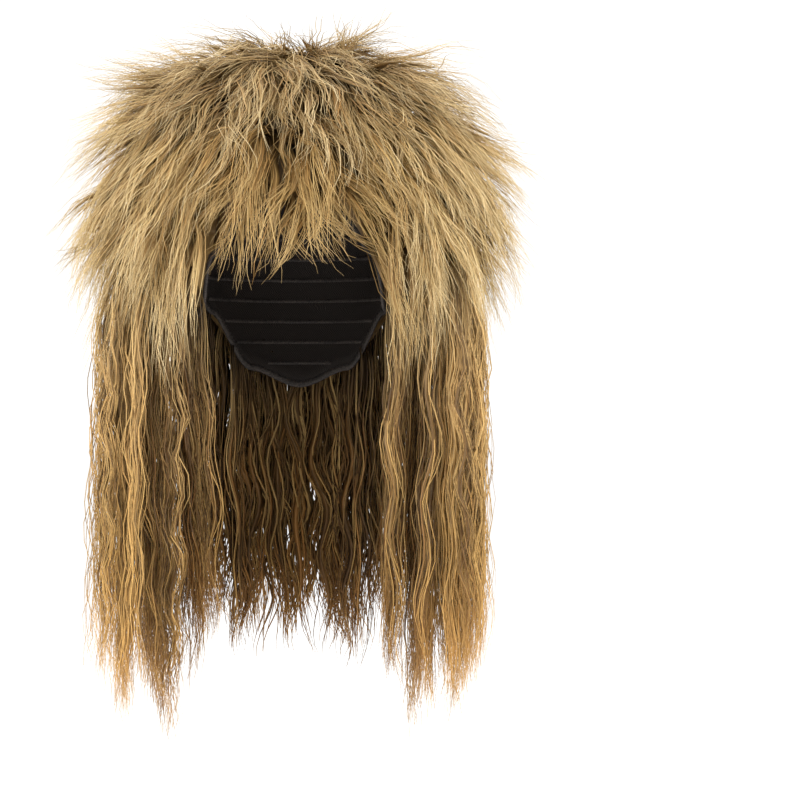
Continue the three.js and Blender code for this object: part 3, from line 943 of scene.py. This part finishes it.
# Back shag and wings: short layered rows over the long ones, teased at the root so that they stand out.
# The same crimped fibre, paler towards its tips and cut to ragged points, sewn to the cap as wefts.
SHORT_STEPS = 8
SHORT_VARY = {
    "azimuth": 0.6, "lift": 22, "fall": 0.4, "length": 0.25, "sweep": 0.6, "curl": 36, "wander": 0.2,
    "width": 0.5, "shade": 0.26, "gather": 0.15, "trim": 0.0,
}
WING_ROWS = (
    (46, 130, 36, 48, 35, 0.92, 102, 26, 0.45, 1.0, 0.00, 0.0, 13, 6, 0.58, 1.02),
    (46, 130, 48, 61, 36, 0.92, 94, 26, 0.50, 1.0, 0.00, 0.0, 13, 6, 0.62, 0.95),
    (48, 130, 61, 73, 35, 0.88, 98, 28, 0.60, 1.0, 0.03, 0.0, 13, 6, 0.60, 0.86),
    (52, 130, 64, 73, 25, 0.60, 122, 22, 0.85, 0.9, 0.06, 0.0, 12, 6, 0.56, 0.70),
    (45, 64, 60, 76, 20, 0.60, 110, 16, 0.92, 0.8, 0.04, 0.0, 10, 5, 0.50, 0.50),
    (41, 57, 42, 58, 10, 0.85, 104, 14, 0.85, 0.8, 0.00, -0.1, 11, 5, 0.52, 0.90),
    (63, 77, 42, 52, 4, 0.90, 96, 22, 0.60, 1.0, 0.00, 0.0, 15, 6, 0.58, 0.98),
)
BACK_SHAG_ROWS = (
    (128, 232, 36, 51, 50, 0.92, 106, 18, 0.50, 1.0, 0, 0, 13, 7, 0.52, 1.05),
    (128, 232, 51, 67, 52, 0.92, 104, 20, 0.55, 1.0, 0, 0, 13, 7, 0.58, 0.97),
    (128, 232, 67, 80, 46, 0.88, 118, 20, 0.65, 1.0, 0, 0, 13, 7, 0.58, 0.90),
    (130, 230, 72, 80, 26, 0.60, 160, 12, 0.95, 0.8, 0, 0, 12, 7, 0.54, 0.70),
)
# Here too the cores are darkened below their fibres, as painted shade between them.
WING = {
    "Fibres": 14, "Fibre Radius": 0.00045, "Fibre Flatness": 0.5, "Wrap": 2.2,
    "Root Width": 0.6, "Taper": 3.0, "Stray": 0.020, "Shortest": 0.70,
    "Frizz": 0.012, "Frizz Turns": 3.5, "Frizz Detail": 1.0, "Wave Height": 0.0030, "Wave Length": 0.060,
    "Core Length": 0.66, "Core Width": 0.74, "Core Flatness": 0.22, "Core Shade": -0.3,
}
BACK_SHAG = {**WING, "Fibres": 10}
WING_DARK = ((0.0, (40, 28, 14)), (0.2, (100, 74, 36)), (0.6, (148, 117, 66)), (1.0, (182, 149, 92)))
WING_PALE = ((0.0, (66, 47, 25)), (0.2, (184, 150, 92)), (0.6, (226, 198, 140)), (1.0, (238, 220, 176)))

wing_fibre = fibre_finish("wing_fibre", WING_DARK, WING_PALE)
hair_piece(
    "back_shag_locks", BACK_SHAG_ROWS, SHORT_VARY, SHORT_STEPS,
    teased_patch(*BACK, CROWN_END, level(SHAG_END), share=0.82),
    BACK_SHAG, wing_fibre, seed=21,
)
hair_piece(
    "right_wing_locks", mirrored(WING_ROWS), SHORT_VARY, SHORT_STEPS,
    teased_patch(*RIGHT, CROWN_END, level(WING_END), share=0.82),
    WING, wing_fibre, seed=22,
)
hair_piece(
    "left_wing_locks", WING_ROWS, SHORT_VARY, SHORT_STEPS,
    teased_patch(*LEFT, CROWN_END, level(WING_END), share=0.82),
    WING, wing_fibre, seed=23,
)


# Fringe: thin wisps that are combed forward and down, and cut to an uneven edge.
# Finer, darker fibre, sewn along the front edge of the cap in close rows.
FRINGE_ROWS = (
    (-52, 52, 36, 45, 34, 0.75, 112, 14, 0.80, 0.9, 0, -0.65, 10, 5, 0.54, 0.95),
    (-52, 52, 44, 53, 36, 0.75, 96, 14, 0.85, 0.8, 0, -0.60, 9, 4, 0.52, 0.95),
    (-50, 50, 52, 58, 36, 0.75, 78, 14, 0.95, 0.7, 0, -0.50, 7, 3, 0.46, 0.95),
    (12, 40, 44, 56, 8, 0.75, 84, 12, 0.90, 0.8, 0, -0.20, 10, 4, 0.50, 0.95),
)
FRINGE_VARY = {**SHORT_VARY, "lift": 14, "length": 0.30, "sweep": 0.9, "curl": 50}
FRINGE = {
    **WING, "Fibres": 11, "Fibre Radius": 0.00042, "Stray": 0.012, "Frizz": 0.010,
    "Shortest": 0.55, "Core Length": 0.5,
}
FRINGE_DARK = ((0.0, (40, 28, 14)), (0.3, (96, 70, 34)), (0.7, (138, 108, 57)), (1.0, (160, 128, 74)))
FRINGE_PALE = ((0.0, (62, 44, 23)), (0.3, (164, 131, 75)), (0.7, (208, 176, 116)), (1.0, (222, 194, 142)))

fringe_fibre = fibre_finish("fringe_fibre", FRINGE_DARK, FRINGE_PALE)
hair_piece(
    "fringe", FRINGE_ROWS, FRINGE_VARY, SHORT_STEPS,
    teased_patch(*FRONT, CROWN_END, patch_edge, share=0.7),
    FRINGE, fringe_fibre, seed=31,
)


# Crown: the last rows, sewn round the top of the cap and teased up and outwards from dark roots.
# The same fibre as the wings. It fans out from the middle of the crown, and falls forward over the fringe.
CROWN_ROWS = (
    (-180, 180, 0, 8, 26, 0.90, 82, 24, 0.20, 1, 0, 0, 10, 5, 0.42, 1.15),
    (100, 260, 6, 14, 12, 0.95, 70, 150, 0.35, 1, 0, 0, 11, 5, 0.48, 1.02),
    (250, 292, 22, 36, 12, 0.92, 88, 46, 0.10, 1, 0, 0, 11, 5, 0.54, 1.10),
    (75, 105, 8, 14, 4, 0.90, 74, 78, 0.00, 1, 0, 0, 5, 3, 0.55, 1.10),
    (-180, 180, 4, 14, 38, 0.92, 116, 22, 0.40, 1, 0, 0, 12, 6, 0.44, 1.15),
    (45, 315, 12, 24, 56, 0.92, 122, 28, 0.40, 1, 0, 0, 13, 6, 0.52, 1.12),
    (-34, 14, 8, 16, 6, 0.92, 92, 20, 0.60, 1, 0, 0, 10, 5, 0.42, 1.12),
    (-75, 75, 9, 24, 46, 0.92, 118, 18, 0.70, 1, 0, -0.35, 12, 6, 0.40, 1.08),
    (45, 315, 24, 36, 62, 0.92, 106, 28, 0.50, 1, 0, 0, 13, 6, 0.56, 1.10),
    (-75, 75, 24, 36, 44, 0.92, 103, 16, 0.80, 1, 0, -0.40, 12, 6, 0.42, 1.02),
)
CROWN_VARY = {**SHORT_VARY, "sweep": 0.9, "curl": 44, "wander": 0.26, "shade": 0.30}
CROWN = {**WING, "Fibres": 12, "Frizz": 0.017, "Wave Height": 0.0042}
CROWN_DARK = ((0.0, (40, 28, 14)), (0.25, (70, 51, 25)), (0.6, (126, 99, 54)), (1.0, (166, 136, 84)))
CROWN_PALE = ((0.0, (66, 47, 25)), (0.25, (154, 125, 76)), (0.6, (216, 188, 134)), (1.0, (236, 218, 176)))

crown_fibre = fibre_finish("crown_fibre", CROWN_DARK, CROWN_PALE)
hair_piece(
    "crown_locks", CROWN_ROWS, CROWN_VARY, SHORT_STEPS,
    teased_patch(-180, 180, 0, level(CROWN_END), share=0.93),
    CROWN, crown_fibre, seed=41,
)


# Studio: a plain pale floor below the longest tips, a white room, and large soft lamps.
# Two lamps stand in front to both sides, and one hangs above and behind.
FLOOR_HEIGHT = -0.56
FLOOR_HALF = 30.0
FLOOR_WHITE = (246, 246, 246)
FLOOR_ROUGH = 0.8
FLOOR_DULLER = 0.15
# Lamps: place, watts, size across. All look at the middle of the wig.
LAMPS = (
    ((-1.5, -1.7, 0.9), 34, 1.2),
    ((1.6, -1.6, 0.8), 30, 1.2),
    ((0.1, 0.5, 1.9), 22, 1.4),
)
LOOK_AT = (0.0, 0.0, -0.15)
ROOM_WHITE = (1, 1, 1, 1)
ROOM_STRENGTH = 1.12


def floor_finish():
    """Matt white, a little duller in places."""
    material, nodes, shader = finish_start("floor")
    cloud = nodes.noise(nodes.add("ShaderNodeTexCoord").output("Object"), scale=1.5, detail=2.0)
    nodes.feed(shader, {"Base Color": linear(FLOOR_WHITE), "Roughness": FLOOR_ROUGH + cloud * FLOOR_DULLER})
    return material


floor_corners = np.array([[0, 0], [1, 0], [1, 1], [0, 1]])
floor_points = np.column_stack([(2 * floor_corners - 1) * FLOOR_HALF, np.full(4, FLOOR_HEIGHT)])
floor = placed("floor", plain_mesh("floor", floor_points, np.arange(4)[None], floor_corners, "floor"))
floor.data.materials.append(floor_finish())

for number, (place, watts, size) in enumerate(LAMPS):
    lamp = bpy.data.lights.new(f"lamp_{number}", "AREA")
    lamp.energy = watts
    lamp.size = size
    holder = placed(f"lamp_{number}", lamp)
    holder.location = place
    holder.rotation_euler = (Vector(LOOK_AT) - Vector(place)).to_track_quat("-Z", "Y").to_euler()

room = bpy.data.worlds.new("room")
room.use_nodes = True
background = next(node for node in room.node_tree.nodes if node.type == "BACKGROUND")
background.inputs["Color"].default_value = ROOM_WHITE
background.inputs["Strength"].default_value = ROOM_STRENGTH
bpy.context.scene.world = room
bpy.context.scene.view_settings.view_transform = "Standard"


# Camera: level with the middle of the wig, two metres in front of it.
# It stands to one side, so that the wig comes left of the picture's middle.
CAMERA_PLACE = (0.080, -2.05, -0.191)
CAMERA_LENS = 120  # mm
CAMERA_REACH = 50.0

eye = bpy.data.cameras.new("camera")
eye.lens = CAMERA_LENS
eye.clip_end = CAMERA_REACH
camera = placed("camera", eye)
camera.location = CAMERA_PLACE
camera.rotation_euler = (math.radians(90), 0, 0)
bpy.context.scene.camera = camera
